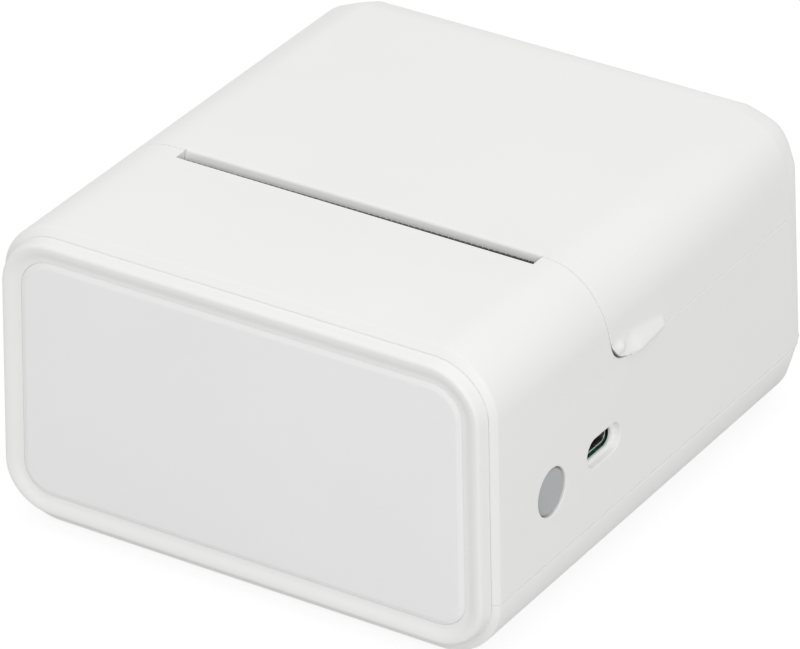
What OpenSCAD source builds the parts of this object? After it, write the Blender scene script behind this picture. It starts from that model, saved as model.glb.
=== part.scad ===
// Portable thermal label printer for 80 mm media: a rounded white box with a
// hinged rear lid over the roll bay, a tear slot across the top, and the print
// mechanism, circuit board and battery inside.
// X runs across the machine, Y from the front (-) to the back (+), Z up.
// The origin is on the ground at the centre of the footprint.

/* [Body] */
// Width at the widest level of the drafted sides
body_w = 115.7; // [114:0.1:130]
// Depth from the bezel's crest to the back
body_depth = 132.9; // [131:0.1:150]
// Height from the ground to the top
body_h = 67.6; // [66:0.1:76]
// Radius of the long upper edges and of the back's upper rolled edge
corner_r = 13.5; // [10:0.1:14]
// Radius of the long lower edges and of the back's lower rolled edge
low_r = 12.7; // [10:0.1:14]
// Wall thickness of the shells
wall = 2.2; // [1.8:0.1:2.6]
// Draft of the sides in degrees
side_draft = 1.1; // [0.5:0.1:1.5]
// Lean of the back in degrees
back_lean = 3.25; // [2:0.05:4]
// Distance of the bottom cover's seam below the lid's side seam
cover_drop = 31.4; // [31:0.1:33]
// Width of the visible seam round the lid
seam_gap = 0.3; // [0.2:0.05:0.5]

/* [Feet] */
// How far the feet stand proud of the bottom cover
foot_proud = 0.8; // [0.5:0.1:1.5]
// Diameter of a foot
foot_d = 10; // [8:0.5:12]
// Spacing of the feet across the machine
foot_span_x = 78; // [70:1:82]
// Distance of the front feet from the front
foot_front_y = 20; // [18:1:26]
// Distance of the rear feet from the back
foot_rear_y = 20; // [18:1:26]

/* [Bezel] */
// Depth of the bezel in front of the housing
bezel_t = 3; // [2.6:0.1:3.4]
// Width of the bezel's rounded rim
rim_w = 5.6; // [5:0.1:6]
// How much higher the bezel's lower edge is than the housing's
bezel_rise = 0.8; // [0:0.1:1]
// Depth of the groove round the panel, behind the rim's crest
groove_d = 1.4; // [1.2:0.1:1.8]
// Thickness of the front panel
panel_t = 2; // [1.6:0.1:2.4]
// How far the panel stands proud of the groove round it
panel_proud = 0.55; // [0.3:0.05:0.7]

/* [Lid and slot] */
// Height of the lid from its side seam to the top
lid_h = 22.2; // [21:0.1:23]
// Distance of the lid's front edge from the front
lid_front = 44.8; // [44:0.1:48]
// How much longer the paper slot is than the media is wide
slot_over = 3; // [2.6:0.1:4]
// Width of the paper slot
slot_gap = 3.4; // [3:0.1:4]
// Radius of the lid's edge in the slot
slot_edge_r = 2; // [1:0.1:2.2]
// How far back the seam's rounded corner reaches on the housing
seam_reach = 6.2; // [5:0.1:7]
// How far back the lid's own rounder corner reaches
lid_reach = 8; // [7:0.1:9]
// Length of each finger lip
lip_l = 19; // [14:0.5:24]
// Height of each finger lip
lip_h = 4.5; // [3.5:0.1:6]
// How far each finger lip flares out
lip_flare = 1.8; // [1:0.1:2.5]
// Radius of the hinge barrel
barrel_r = 3.2; // [3:0.05:3.4]
// Diameter of the hinge pins
pin_d = 2; // [1.6:0.1:2.4]

/* [Print mechanism] */
// Diameter of the platen roller
platen_d = 11; // [10:0.1:11.4]
// Room beside the media for the gear train, the side plate and the wall
side_room = 17.85; // [17.8:0.05:20]
// Depth of the platen's axis below the top
platen_drop = 14.8; // [14.4:0.1:16]
// Distance of the platen's axis behind the lid's front edge
platen_back = 4.2; // [4:0.1:5]
// Diameter of the platen shaft
shaft_d = 4; // [3.6:0.1:4.4]
// Gap between the platen and the print head
paper_gap = 0.3; // [0.25:0.05:0.5]
// Thickness of the mechanism's side plates
plate_t = 2; // [1.6:0.1:2.2]
// Tooth module of the platen train
train_m = 0.6; // [0.6:0.01:0.62]
// Tooth module of the motor stage
motor_m = 0.5; // [0.5:0.01:0.52]
// Face width of the gears
gear_w = 3; // [2.4:0.1:3]
// Diameter of the stepper motor
motor_d = 23; // [20:0.5:23]
// Length of the stepper motor
motor_l = 15; // [12:0.5:20]
// Pitch of the tear bar's teeth
tear_pitch = 1.3; // [1:0.1:2]

/* [Roll bay] */
// Clearance between the racks and the bay's floor
rack_clear = 2.6; // [1:0.1:3]
// Room between the hinge's axis and the bay's trough
bay_room = 8.2; // [8:0.1:10]
// Radius of the roll guides
guide_r = 17; // [14:0.5:20]
// Width of the narrowest media that the guides close on
media_min = 20; // [20:1:40]
// Diameter of the roll hubs
hub_d = 24; // [18:0.5:26]
// Tooth module of the guides' racks
rack_m = 0.8; // [0.8:0.05:0.9]

/* [Controls] */
// Diameter of the power button
button_d = 10; // [8:0.1:11]
// Distance of the button's centre from the front
button_y = 24.4; // [20:0.1:26]
// Distance of the button's centre below the lid's side seam
button_drop = 16.1; // [14:0.1:18]
// Travel of the button
button_travel = 0.7; // [0.5:0.05:0.8]
// Distance of the charging port's centre from the front
port_y = 44.2; // [42:0.1:48]
// Distance of the charging port's centre below the lid's side seam
port_drop = 15.6; // [13:0.1:17]
// Length of the port's recess
port_recess_l = 12.4; // [11:0.1:14]
// Height of the port's recess
port_recess_h = 6.1; // [5:0.1:7]
// Thickness of the circuit board
board_t = 1.6; // [1.2:0.1:1.8]

/* [Hidden] */
$fn = 64;

shell_white = "#f1f1f0";
inner_grey = "#c9cbcc";
dark_plastic = "#2e3033";
steel = "#b9bcc0";
brass = "#c8a860";
eps = 0.01;          // overlap that makes a cut break through
run_gap = 0.05;      // radial clearance of a shaft in its bore
move_gap = 0.3;      // clearance between pieces that pass each other
screw_seat_z = 6;     // seat of the cover screws' heads
cover_gap = 0.15;    // visible seam between the housing and the bottom cover
hull_fn = 32;

// ---- levels and places that the pieces share ----
function fy(d) = d - body_depth / 2;     // distance from the front, as a Y coordinate
low_z = foot_proud + low_r;              // level of the lower rolled edges' centres
high_z = body_h - corner_r;              // level of the upper ones
function edge_r(z) = z == low_z ? low_r : corner_r;
function half_w(z) = body_w / 2 - tan(side_draft) * (z - low_z);
function back_y(z) = body_depth / 2 - tan(back_lean) * (z - low_z);
floor_z = foot_proud + wall;             // top of the bottom cover's floor
deck_z = body_h - wall;                  // underside of the deck
seam_z = body_h - lid_h;
cover_seam_z = seam_z - cover_drop;
button_z = seam_z - button_drop;
port_z = seam_z - port_drop;
media_w = body_w - 2 * side_room;
slot_w = media_w + slot_over;
hinge_z = seam_z;
hinge_y = back_y(hinge_z) - barrel_r;
platen_y = fy(lid_front + platen_back);
platen_z = body_h - platen_drop;
head_face = platen_y - platen_d / 2 - paper_gap;
roll_z = seam_z - 5.6;
rack_z = floor_z + 2.4;
rack_h = 4;
liner_floor = 1.8;
trough_r = roll_z - rack_z - rack_h - rack_clear - liner_floor;
trough_out = trough_r + liner_floor;
bay_y = hinge_y - bay_room - trough_out;
guide_travel = (media_w - media_min) / 2;

// side plates of the mechanism, outside the media
head_half = media_w / 2 + 1;
cheek_x = media_w / 2 + 0.6;             // inner face of the carrier's cheeks
cheek_t = 1.8;
plate_x = cheek_x + cheek_t + 0.6;       // inner face of the side plates
plate_out = plate_x + plate_t;
gear_x = plate_out + 1;                  // inner face of the gears
stage_x = gear_x + gear_w + 0.6;         // inner face of the motor stage
stage_w = 2.2;

// ---- helpers ----
// Draws a profile in the Y-Z plane and gives it a width about the centre plane
module across(w) {
    rotate([90, 0, 90])
        linear_extrude(height = w, center = true)
            children();
}
// The same, from x0 to x1
module across_from(x0, x1) {
    translate([x0, 0, 0])
        rotate([90, 0, 90])
            linear_extrude(height = x1 - x0)
                children();
}
module both_sides() {
    children();
    mirror([1, 0, 0])
        children();
}
// A round bar along X from x0 to x1
module rod(x0, x1, y, z, r) {
    translate([x0, y, z])
        rotate([0, 90, 0])
            cylinder(r = r, h = x1 - x0);
}
// A disc of the body's front outline, inset by d and raised at its lower edge, from y to y + t
module outline_disc(y, t, d, rise = 0) {
    for (side = [-1, 1], z = [low_z, high_z])
        translate([side * (half_w(z) - edge_r(z)), y + t, z + (z == low_z ? rise : 0)])
            rotate([90, 0, 0])
                cylinder(r = edge_r(z) - d, h = t, $fn = hull_fn);
}
module bezel_disc(y, t, d) {
    outline_disc(y, t, d, bezel_rise);
}
// The body's rolled back corners, inset by d
module back_balls(d) {
    for (side = [-1, 1], z = [low_z, high_z])
        translate([side * (half_w(z) - edge_r(z)), back_y(z) - edge_r(z), z])
            sphere(r = edge_r(z) - d, $fn = hull_fn);
}
edge_inset = 0.8;
edge_run = 2.3;
housing_front = fy(bezel_t);
// The outer form of the body behind the bezel
module body_form() {
    hull() {
        back_balls(0);
        outline_disc(housing_front + edge_run, 1, 0);
        bezel_disc(housing_front, eps, edge_inset);
    }
}
// The space inside the walls, open at the front
module body_space(d = wall) {
    hull() {
        back_balls(d);
        outline_disc(housing_front - 1, 1, d);
    }
}

// ---- gears ----
pressure_angle = 20;
backlash = 0.12;
addendum = 0.9;
dedendum = 1.25;
mesh_gap = 0.06;     // added to each centre distance
function inv(a) = tan(a) * 180 / PI - a;
function pitch_r(m, n) = m * n / 2;
function tip_r(m, n) = pitch_r(m, n) + addendum * m;
function mesh_d(m, n1, n2) = pitch_r(m, n1) + pitch_r(m, n2) + mesh_gap;
// Half the angle that a tooth takes up at radius r
function half_tooth(m, n, r) =
    let (rp = pitch_r(m, n), rb = rp * cos(pressure_angle), a = acos(min(1, rb / max(r, rb))))
    90 / n + inv(pressure_angle) - inv(a) - backlash / 2 / rp * 180 / PI;
function tooth_radii(m, n) =
    let (rp = pitch_r(m, n), rb = rp * cos(pressure_angle), root = rp - dedendum * m,
        low = max(rb, root + 0.15 * m))
    [root, low, (low + rp) / 2, rp, (rp + tip_r(m, n)) / 2, tip_r(m, n)];
// Outline of a spur gear with a tooth centred at angle turn
function gear_outline(m, n, turn) = [for (i = [0 : n - 1])
    let (mid = turn + i * 360 / n, radii = tooth_radii(m, n), last = len(radii) - 1)
    each concat(
        [for (k = [0 : last])
            let (r = radii[k], h = half_tooth(m, n, r) * (k == 0 ? 0.9 : 1))
            [r * cos(mid - h), r * sin(mid - h)]],
        [for (k = [last : -1 : 0])
            let (r = radii[k], h = half_tooth(m, n, r) * (k == 0 ? 0.9 : 1))
            [r * cos(mid + h), r * sin(mid + h)]])];
// Turn of a gear with n2 teeth that meets, in direction a, a gear with n1 teeth turned by t1
function mate_turn(a, t1, n1, n2) = a + 180 - (0.5 - (a - t1) * n1 / 360) * 360 / n2;
// A gear on an axis along X
module spur(x, y, z, m, n, turn, w) {
    translate([x, y, z])
        rotate([90, 0, 90])
            linear_extrude(height = w)
                polygon(gear_outline(m, n, turn));
}

platen_teeth = 17;
idler_teeth = 26;
small_teeth = 15;
large_teeth = 34;
pinion_teeth = 14;
idler_y = platen_y;
idler_z = platen_z - mesh_d(train_m, platen_teeth, idler_teeth);
reduction_dir = 168;
reduction_y = idler_y + mesh_d(train_m, idler_teeth, small_teeth) * cos(reduction_dir);
reduction_z = idler_z + mesh_d(train_m, idler_teeth, small_teeth) * sin(reduction_dir);
motor_dir = 180;
motor_y = reduction_y + mesh_d(motor_m, large_teeth, pinion_teeth) * cos(motor_dir);
motor_z = reduction_z + mesh_d(motor_m, large_teeth, pinion_teeth) * sin(motor_dir);
platen_turn = 0;
idler_turn = mate_turn(-90, platen_turn, platen_teeth, idler_teeth);
small_turn = mate_turn(reduction_dir, idler_turn, idler_teeth, small_teeth);
large_turn = 0;
pinion_turn = mate_turn(motor_dir, large_turn, large_teeth, pinion_teeth);
stud_r = 1.5;

// ---- places of the mechanism ----
frame_z = motor_z - motor_d / 2 - 0.5;   // underside of the mechanism frame
frame_front = motor_y - motor_d / 2 - 1;
frame_back = platen_y + 12;
pivot_y = head_face - 3;
pivot_z = idler_z - 4;
head_rod_r = 1.5;
head_top = deck_z - 5.6;
beam_y = head_face - 13;
beam_z = motor_z + motor_d / 2 + 0.4;
bush_r = shaft_d / 2 + 2;
post_x = half_w(low_z) - wall - 5.2;     // columns that carry the frame
post_r = 3.2;
post_front_y = (fy(button_y) + fy(port_y)) / 2;
post_back_y = frame_back - 2.5;

// ---- places in the base ----
board_z = port_z - 1.6 - board_t;        // underside of the circuit board
boss_r = 3.6;
boss_x = media_w / 2 + 6;
boss_front_y = fy(14);
boss_rear_y = hinge_y - bay_room + boss_r + 1;
boss_top = board_z - 5.8;
board_front = fy(12);
board_back = post_back_y - post_r - 1.2;
board_left = -media_w / 2 - 0.5;
board_right = half_w(board_z) - wall - 0.6;
board_posts_x = [board_left + 3.5, boss_x - 7];
board_posts_y = [board_front + 3, board_back - 3];
battery_l = 66;
battery_w = 37;
battery_y = fy(27.5);
battery_z = floor_z + 0.2;
battery_h = board_z - battery_z - 4;

// ---- the lid's outline, seen from the side ----
// Front edge of the lid from the top down to the seam's rounded corner, moved forward by g
function lid_edge(g) = [
    [fy(lid_front) - g, body_h + 2],
    [fy(lid_front) - g, body_h - wall],
    [fy(lid_front + 0.5) - g, body_h - 6.3],
    [fy(lid_front + 1) - g, body_h - 12.8]];
// The corner, a quarter of an ellipse that reaches this far back
function lid_corner(g, reach) = [for (a = [0 : 15 : 90])
    [fy(lid_front + 2.5 + reach * (1 - cos(a))) - g, seam_z - g + 0.8 * reach * (1 - sin(a))]];
module lid_side(g, reach) {
    polygon(concat(lid_edge(g), lid_corner(g, reach),
        [[body_depth, seam_z - g], [body_depth, body_h + 2]]));
}
knuckle_in = 24;
knuckle_out = 36;
barrel_end = body_w / 2;

// ---- shells ----
module stadium(l, h) {
    square([l - h, h], center = true);
    for (s = [-1, 1])
        translate([s * (l - h) / 2, 0])
            circle(d = h);
}
module hinge_knuckle() {
    difference() {
        across_from(knuckle_in + 0.15, knuckle_out - 0.15) {
            translate([hinge_y, hinge_z])
                circle(r = barrel_r);
            translate([hinge_y - barrel_r, hinge_z - 9])
                square([barrel_r, 9]);
            translate([hinge_y - barrel_r, hinge_z - 9])
                square([2 * barrel_r - wall / 2, 9 - barrel_r - move_gap]);
        }
        rod(knuckle_in, knuckle_out, hinge_y, hinge_z, pin_d / 2 + run_gap);
    }
}
// A screw boss with its rib, which runs to the wall at an angle of turn
module cover_boss(x, y, turn, reach) {
    difference() {
        union() {
            translate([x, y, cover_seam_z])
                cylinder(r = boss_r, h = boss_top - cover_seam_z);
            translate([x, y, cover_seam_z + 1])
                rotate([0, 0, turn])
                    translate([0, -0.8, 0])
                        cube([reach, 1.6, boss_top - cover_seam_z - 1]);
        }
        translate([x, y, cover_seam_z - eps])
            cylinder(r = 1.55, h = 6);
    }
}
module main_housing() {
    color(shell_white) {
        difference() {
            body_form();
            body_space();
            translate([-body_w, -body_depth, -eps])
                cube([2 * body_w, 2 * body_depth, cover_seam_z + cover_gap]);
            across(2 * body_w)
                lid_side(0, seam_reach);
            // the hinge barrel's trough and the room that the open lid needs
            rod(-body_w, body_w, hinge_y, hinge_z, barrel_r + move_gap);
            translate([-body_w, hinge_y, hinge_z - barrel_r - move_gap])
                cube([2 * body_w, body_depth, 10]);
            // paper slot
            translate([-slot_w / 2, fy(lid_front) - slot_gap, deck_z - 1])
                cube([slot_w, slot_gap + 2, wall + 2]);
            // button bore
            rod(body_w / 2 - wall - 3, body_w / 2 + 1, fy(button_y), button_z, button_d / 2 + 0.2);
            // port recess, with the receptacle's opening in its floor
            translate([half_w(port_z) - 1.4, fy(port_y), port_z])
                rotate([90, 0, 90])
                    linear_extrude(height = 4)
                        stadium(port_recess_l, port_recess_h);
            translate([half_w(port_z) - wall - 3, fy(port_y), port_z])
                rotate([90, 0, 90])
                    linear_extrude(height = 4)
                        stadium(10, 4.2);
        }
        both_sides() {
            hinge_knuckle();
            cover_boss(boss_x, boss_front_y, 0, half_w(boss_top) - wall + 0.6 - boss_x);
            cover_boss(boss_x, boss_rear_y, 90, back_y(boss_top) - wall + 0.6 - boss_rear_y);
            // brackets under the bay liner's flange
            for (d = [-20, 8, 30])
                translate([half_w(liner_z) - wall - 2.4, bay_y + d - 0.8, liner_z - 6])
                    cube([2.8, 1.6, 6]);
        }
        // rib that carries the tear bar
        translate([-slot_w / 2 - 1, fy(lid_front) - slot_gap - 2, tear_z])
            cube([slot_w + 2, 2, deck_z - tear_z + eps]);
    }
}
liner_t = 1.6;
liner_z = seam_z - seam_gap - 0.3 - liner_t;
tear_z = deck_z - 4.6;

// Bosses, columns and posts that stand on the cover's floor, up to level top
module cover_bosses(top) {
    for (side = [-1, 1], y = [boss_front_y, boss_rear_y])
        translate([side * boss_x, y, 0])
            cylinder(r = 4, h = top);
}
module cover_columns(base, top, board_top) {
    for (side = [-1, 1], y = [post_front_y, post_back_y])
        translate([side * post_x, y, base])
            cylinder(r = post_r, h = top - base);
    for (x = board_posts_x, y = board_posts_y)
        translate([x, y, base])
            cylinder(r = 2.4, h = board_top - base);
}
module bottom_cover() {
    color(shell_white) {
        difference() {
            body_form();
            difference() {
                body_space();
                cover_bosses(cover_seam_z);
                cover_columns(0, cover_seam_z, cover_seam_z);
            }
            translate([-body_w, -body_depth, cover_seam_z])
                cube([2 * body_w, 2 * body_depth, body_h]);
            for (side = [-1, 1], y = [boss_front_y, boss_rear_y])
                translate([side * boss_x, y, -eps]) {
                    cylinder(r = 3, h = screw_seat_z + eps);
                    cylinder(r = 1.7, h = body_h);
                }
            for (side = [-1, 1], y = [fy(foot_front_y), body_depth / 2 - foot_rear_y])
                translate([side * foot_span_x / 2, y, -eps])
                    cylinder(d = foot_d, h = 2 * foot_proud + eps);
        }
        cover_columns(cover_seam_z - eps, frame_z, board_z);
        // battery cradle
        both_sides()
            translate([battery_l / 2 + 0.2, battery_y - battery_w / 2 + 6, floor_z - eps])
                cube([1.6, battery_w - 12, 9]);
        // rails and stud of the guides' racks
        for (s = [-1, 1])
            translate([-guide_x - 2, bay_y + s * rack_mid - 1.2, floor_z - eps])
                cube([2 * guide_x + 4, 2.4, rack_z - floor_z + eps]);
        translate([0, bay_y, floor_z - eps])
            cylinder(r = 3.5, h = rack_z - floor_z + eps);
        translate([0, bay_y, floor_z])
            cylinder(r = 2, h = rack_z - floor_z + rack_h + 0.6);
    }
}
module rubber_feet() {
    color(dark_plastic)
        for (side = [-1, 1], y = [fy(foot_front_y), body_depth / 2 - foot_rear_y])
            translate([side * foot_span_x / 2, y, 0]) {
                cylinder(d1 = foot_d - 1.6, d2 = foot_d - 0.6, h = foot_proud);
                translate([0, 0, foot_proud])
                    cylinder(d = foot_d - 0.6, h = foot_proud);
            }
}
// Screw with its head down at z, under a boss
module up_screw(x, y, z, head_r, shank_r, l) {
    translate([x, y, z]) {
        difference() {
            cylinder(r = head_r, h = 2);
            translate([0, 0, -eps])
                cylinder(r = head_r * 0.5, h = 1.2, $fn = 6);
        }
        translate([0, 0, 2 - eps])
            cylinder(r = shank_r, h = l);
    }
}
module cover_screws() {
    color(steel)
        both_sides()
            for (y = [boss_front_y, boss_rear_y])
                up_screw(boss_x, y, screw_seat_z - 2, 2.8, 1.5, cover_seam_z - screw_seat_z + 5);
}

// ---- front ----
module front_bezel() {
    color(shell_white) {
        difference() {
            hull() {
                bezel_disc(fy(0), eps, 2.9);
                bezel_disc(fy(0.25), eps, 1.9);
                bezel_disc(fy(0.9), eps, 1.15);
                bezel_disc(fy(1.9), bezel_t - 1.9, 0.8);
            }
            hull() {
                bezel_disc(fy(-0.2), 0.1, 3.4);
                bezel_disc(fy(0.3), eps, 4.1);
                bezel_disc(fy(groove_d), bezel_t, rim_w);
            }
        }
        // spigot inside the housing's mouth, with the panel's ledge
        difference() {
            hull()
                bezel_disc(fy(bezel_t - eps), 3, wall + 0.15);
            hull()
                bezel_disc(fy(bezel_t - 1), 6, wall + 1.4);
        }
        difference() {
            hull()
                bezel_disc(panel_back, 1.2, rim_w - 3);
            hull()
                bezel_disc(panel_back - 1, 4, rim_w + 3);
        }
    }
}
panel_front = fy(groove_d - panel_proud);
panel_back = panel_front + panel_t;
module front_panel() {
    color("#e4e5e5")
        hull() {
            bezel_disc(panel_front, eps, rim_w + 0.8);
            bezel_disc(fy(groove_d), panel_back - fy(groove_d), rim_w + 0.15);
        }
}

// ---- lid ----
// A finger lip, which swells out of the lid's side along the seam and its rounded corner
lip_r = 0.9;
lip_stations = [[5.2, 3.6, 0.35], [12, 1.3, 1], [lip_l + 2.5, 1.3, 0.5]];
module finger_lip() {
    // each station has its distance behind the lid's front, its height and its share of the flare
    hull()
        for (p = lip_stations)
            translate([0, fy(lid_front + p[0]), seam_z + p[1]]) {
                translate([half_w(seam_z + p[1]) + lip_flare * p[2] - lip_r, 0, 0])
                    sphere(r = lip_r, $fn = 16);
                translate([half_w(seam_z + lip_h) - lip_r, 0, lip_h - lip_r])
                    sphere(r = lip_r, $fn = 16);
            }
}
module lid_barrels() {
    difference() {
        intersection() {
            rod(-barrel_end, barrel_end, hinge_y, hinge_z, barrel_r);
            body_form();
        }
        both_sides() {
            across_from(knuckle_in - 0.15, knuckle_out + 0.15)
                translate([hinge_y, hinge_z])
                    circle(r = barrel_r + 1);
            pin_bore();
        }
    }
}
module pin_bore() {
    rod(knuckle_out - 1, knuckle_out + 11, hinge_y, hinge_z, pin_d / 2 + run_gap);
}
carrier_top = deck_z - 2;
carrier_bosses = [platen_y + 3, platen_y + 13];
carrier_boss_x = boss_x - 0.8;
module lid() {
    color(shell_white) {
        difference() {
            intersection() {
                body_form();
                across(2 * body_w)
                    lid_side(-seam_gap, lid_reach);
            }
            body_space();
            // rounded edge in the slot
            translate([-slot_w / 2, fy(lid_front), body_h - slot_edge_r])
                cube([slot_w, slot_edge_r + seam_gap, slot_edge_r + 1]);
            both_sides() {
                across_from(knuckle_in - 0.15, knuckle_out + 0.15)
                    translate([hinge_y, hinge_z])
                        circle(r = barrel_r + move_gap);
                pin_bore();
            }
        }
        rod(-slot_w / 2, slot_w / 2, fy(lid_front) + seam_gap + slot_edge_r, body_h - slot_edge_r,
            slot_edge_r);
        // turned-down front wall behind the slot
        translate([-slot_w / 2 - 4, fy(lid_front) + seam_gap, deck_z - 3])
            cube([slot_w + 8, 1.6, 3 + wall - slot_edge_r]);
        lid_barrels();
        both_sides() {
            finger_lip();
            for (y = carrier_bosses)
                translate([carrier_boss_x, y, carrier_top])
                    difference() {
                        cylinder(r = 3, h = deck_z - carrier_top + eps);
                        translate([0, 0, -eps])
                            cylinder(r = 1.05, h = deck_z - carrier_top);
                    }
        }
        // stiffening ribs under the lid's roof
        for (x = [-24, 0, 24])
            translate([x - 0.7, platen_y + 20, deck_z - 1.6])
                cube([1.4, hinge_y - platen_y - 32, 1.6 + eps]);
    }
}
module hinge_pins() {
    color(steel)
        both_sides()
            rod(knuckle_in + 0.6, knuckle_out + 10, hinge_y, hinge_z, pin_d / 2);
}
module platen_carrier() {
    wall_y = platen_y + platen_d / 2 + 1.6;
    top_t = 1.8;
    tail = 10;       // how far the top reaches behind the wall
    front = fy(lid_front + 3.4);
    color(inner_grey) {
        difference() {
            translate([-boss_x - 3, front, carrier_top - top_t])
                cube([2 * boss_x + 6, wall_y + tail - front, top_t]);
            both_sides()
                for (y = carrier_bosses)
                    translate([carrier_boss_x, y, carrier_top - top_t - eps])
                        cylinder(r = 1.2, h = 2 * top_t);
        }
        translate([-cheek_x - cheek_t, wall_y, platen_z - 2])
            cube([2 * (cheek_x + cheek_t), 1.8, carrier_top - platen_z + 2 - eps]);
        for (x = [-28, 0, 28])
            across_from(x - 0.7, x + 0.7)
                polygon([[wall_y + 1.7, platen_z + 1], [wall_y + 8, carrier_top - top_t + eps],
                    [wall_y + 1.7, carrier_top - top_t + eps]]);
        both_sides()
            difference() {
                across_from(cheek_x, cheek_x + cheek_t) {
                    translate([platen_y, platen_z])
                        circle(r = bush_r + 0.8);
                    translate([platen_y - 1, platen_z - 2])
                        square([wall_y + 1 - platen_y + 0.8, carrier_top - platen_z + 2 - eps]);
                }
                rod(cheek_x - 1, cheek_x + 4, platen_y, platen_z, shaft_d / 2 + 0.2);
            }
    }
}
module carrier_screws() {
    color(steel)
        both_sides()
            for (y = carrier_bosses)
                up_screw(carrier_boss_x, y, carrier_top - 1.8 - 2, 1.9, 1, 3.4);
}

// ---- platen ----
module platen_roller() {
    color(dark_plastic)
        difference() {
            rod(-media_w / 2, media_w / 2, platen_y, platen_z, platen_d / 2);
            rod(-media_w, media_w, platen_y, platen_z, shaft_d / 2);
        }
}
module platen_shaft() {
    color(steel)
        rod(-gear_x - gear_w, plate_out + 0.6, platen_y, platen_z, shaft_d / 2);
}
module platen_gear() {
    color("#e8e6df")
        difference() {
            spur(-gear_x - gear_w, platen_y, platen_z, train_m, platen_teeth, platen_turn, gear_w);
            rod(-gear_x - gear_w - 1, -gear_x + 1, platen_y, platen_z, shaft_d / 2);
        }
}
module platen_bushes() {
    color(brass)
        both_sides()
            difference() {
                union() {
                    rod(cheek_x + cheek_t, plate_out + 0.3, platen_y, platen_z, bush_r);
                    rod(cheek_x + cheek_t, plate_x - 0.15, platen_y, platen_z, bush_r + 0.4);
                }
                rod(cheek_x, plate_out + 1, platen_y, platen_z, shaft_d / 2 + run_gap);
            }
}

// ---- mechanism in the base ----
module side_plate_outline() {
    difference() {
        polygon([[frame_front, frame_z], [frame_back, frame_z], [frame_back, platen_z - 4],
            [platen_y + 8.5, platen_z + 4], [platen_y - 8, platen_z + 5],
            [beam_y - 2, beam_z + 5], [frame_front, motor_z + 8]]);
        // notch for the platen's bush, open upward and flared to the rear
        translate([platen_y, platen_z])
            circle(r = bush_r + 0.1);
        polygon([[platen_y - bush_r - 0.1, platen_z], [platen_y + bush_r + 0.1, platen_z],
            [platen_y + bush_r + 2.6, platen_z + 10], [platen_y - bush_r - 0.1, platen_z + 10]]);
        translate([pivot_y, pivot_z])
            circle(r = head_rod_r + run_gap);
    }
}
module mechanism_frame() {
    color("#9fa3a8") {
        both_sides() {
            across_from(plate_x, plate_out)
                side_plate_outline();
            for (y = [post_front_y, post_back_y])
                translate([plate_out - eps, y - 3.2, frame_z])
                    cube([post_x - plate_out + 3.2, 6.4, 1.6]);
        }
        // base, spring beam and curved paper guide
        translate([-plate_x - eps, platen_y - 4, frame_z])
            cube([2 * plate_x + 2 * eps, frame_back - platen_y + 4, 1.6]);
        translate([-plate_x - eps, beam_y - 1.6, beam_z])
            cube([2 * plate_x + 2 * eps, 1.6, 5]);
        intersection() {
            difference() {
                rod(-plate_x - eps, plate_x + eps, platen_y, platen_z, platen_d / 2 + 3.2);
                rod(-plate_x - 1, plate_x + 1, platen_y, platen_z, platen_d / 2 + 1.6);
            }
            translate([-media_w, platen_y - 1, platen_z - platen_d])
                cube([2 * media_w, 2 * platen_d, platen_d - 5]);
        }
    }
}
module head_heatsink() {
    color("#a9adb2") {
        translate([-head_half + 0.6, head_face - 5, pivot_z + 3])
            cube([2 * head_half - 1.2, 4, head_top - pivot_z - 3]);
        both_sides()
            difference() {
                across_from(head_half - 5, head_half - 0.6) {
                    translate([pivot_y, pivot_z])
                        circle(r = 3);
                    translate([head_face - 5, pivot_z])
                        square([4, 4]);
                }
                rod(0, media_w, pivot_y, pivot_z, head_rod_r + run_gap);
            }
        // cups that hold the springs
        for (x = [-spring_x, spring_x])
            translate([x, head_face - 5 - 1, spring_z])
                rotate([-90, 0, 0])
                    cylinder(r = spring_r - 0.9, h = 1 + eps);
    }
}
spring_x = 22;
spring_r = 2.4;
spring_z = beam_z + 2.5;
head_foot = 8;       // from the pivot up to the ceramic's lower edge
cover_inset = 4;     // of the cover over the head's wires, from the ceramic's ends
module print_head() {
    color("#3c4a46")
        translate([-media_w / 2, head_face - 1, pivot_z + head_foot])
            cube([media_w, 1, head_top - pivot_z - head_foot - 0.4]);
    color(dark_plastic)
        translate([-media_w / 2 + cover_inset, head_face - eps, pivot_z + head_foot])
            cube([media_w - 2 * cover_inset, 0.9, 4]);
}
module head_rod() {
    color(steel)
        rod(-plate_out - 0.4, plate_out + 0.4, pivot_y, pivot_z, head_rod_r);
}
spring_l = head_face - 5 - beam_y;
spring_turns = 5;
wire_r = 0.35;
function spring_point(t) = [
    (spring_r - wire_r) * cos(t * 360 * spring_turns),
    (spring_r - wire_r) * sin(t * 360 * spring_turns),
    wire_r + t * (spring_l - 2 * wire_r)];
module spring_coil() {
    rings = 12 * spring_turns;
    sides = 6;
    points = [for (i = [0 : rings], k = [0 : sides - 1])
        let (t = i / rings, a = t * 360 * spring_turns, p = spring_point(t), b = k * 360 / sides)
        [p[0] + wire_r * cos(b) * cos(a), p[1] + wire_r * cos(b) * sin(a), p[2] + wire_r * sin(b)]];
    walls = [for (i = [0 : rings - 1], k = [0 : sides - 1])
        let (n = (k + 1) % sides)
        [i * sides + k, (i + 1) * sides + k, (i + 1) * sides + n, i * sides + n]];
    caps = [[for (k = [0 : sides - 1]) k], [for (k = [sides - 1 : -1 : 0]) rings * sides + k]];
    polyhedron(points = points, faces = concat(walls, caps));
}
module head_springs() {
    color(steel)
        for (x = [-spring_x, spring_x])
            translate([x, beam_y, spring_z])
                rotate([-90, 0, 0])
                    spring_coil();
}
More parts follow.
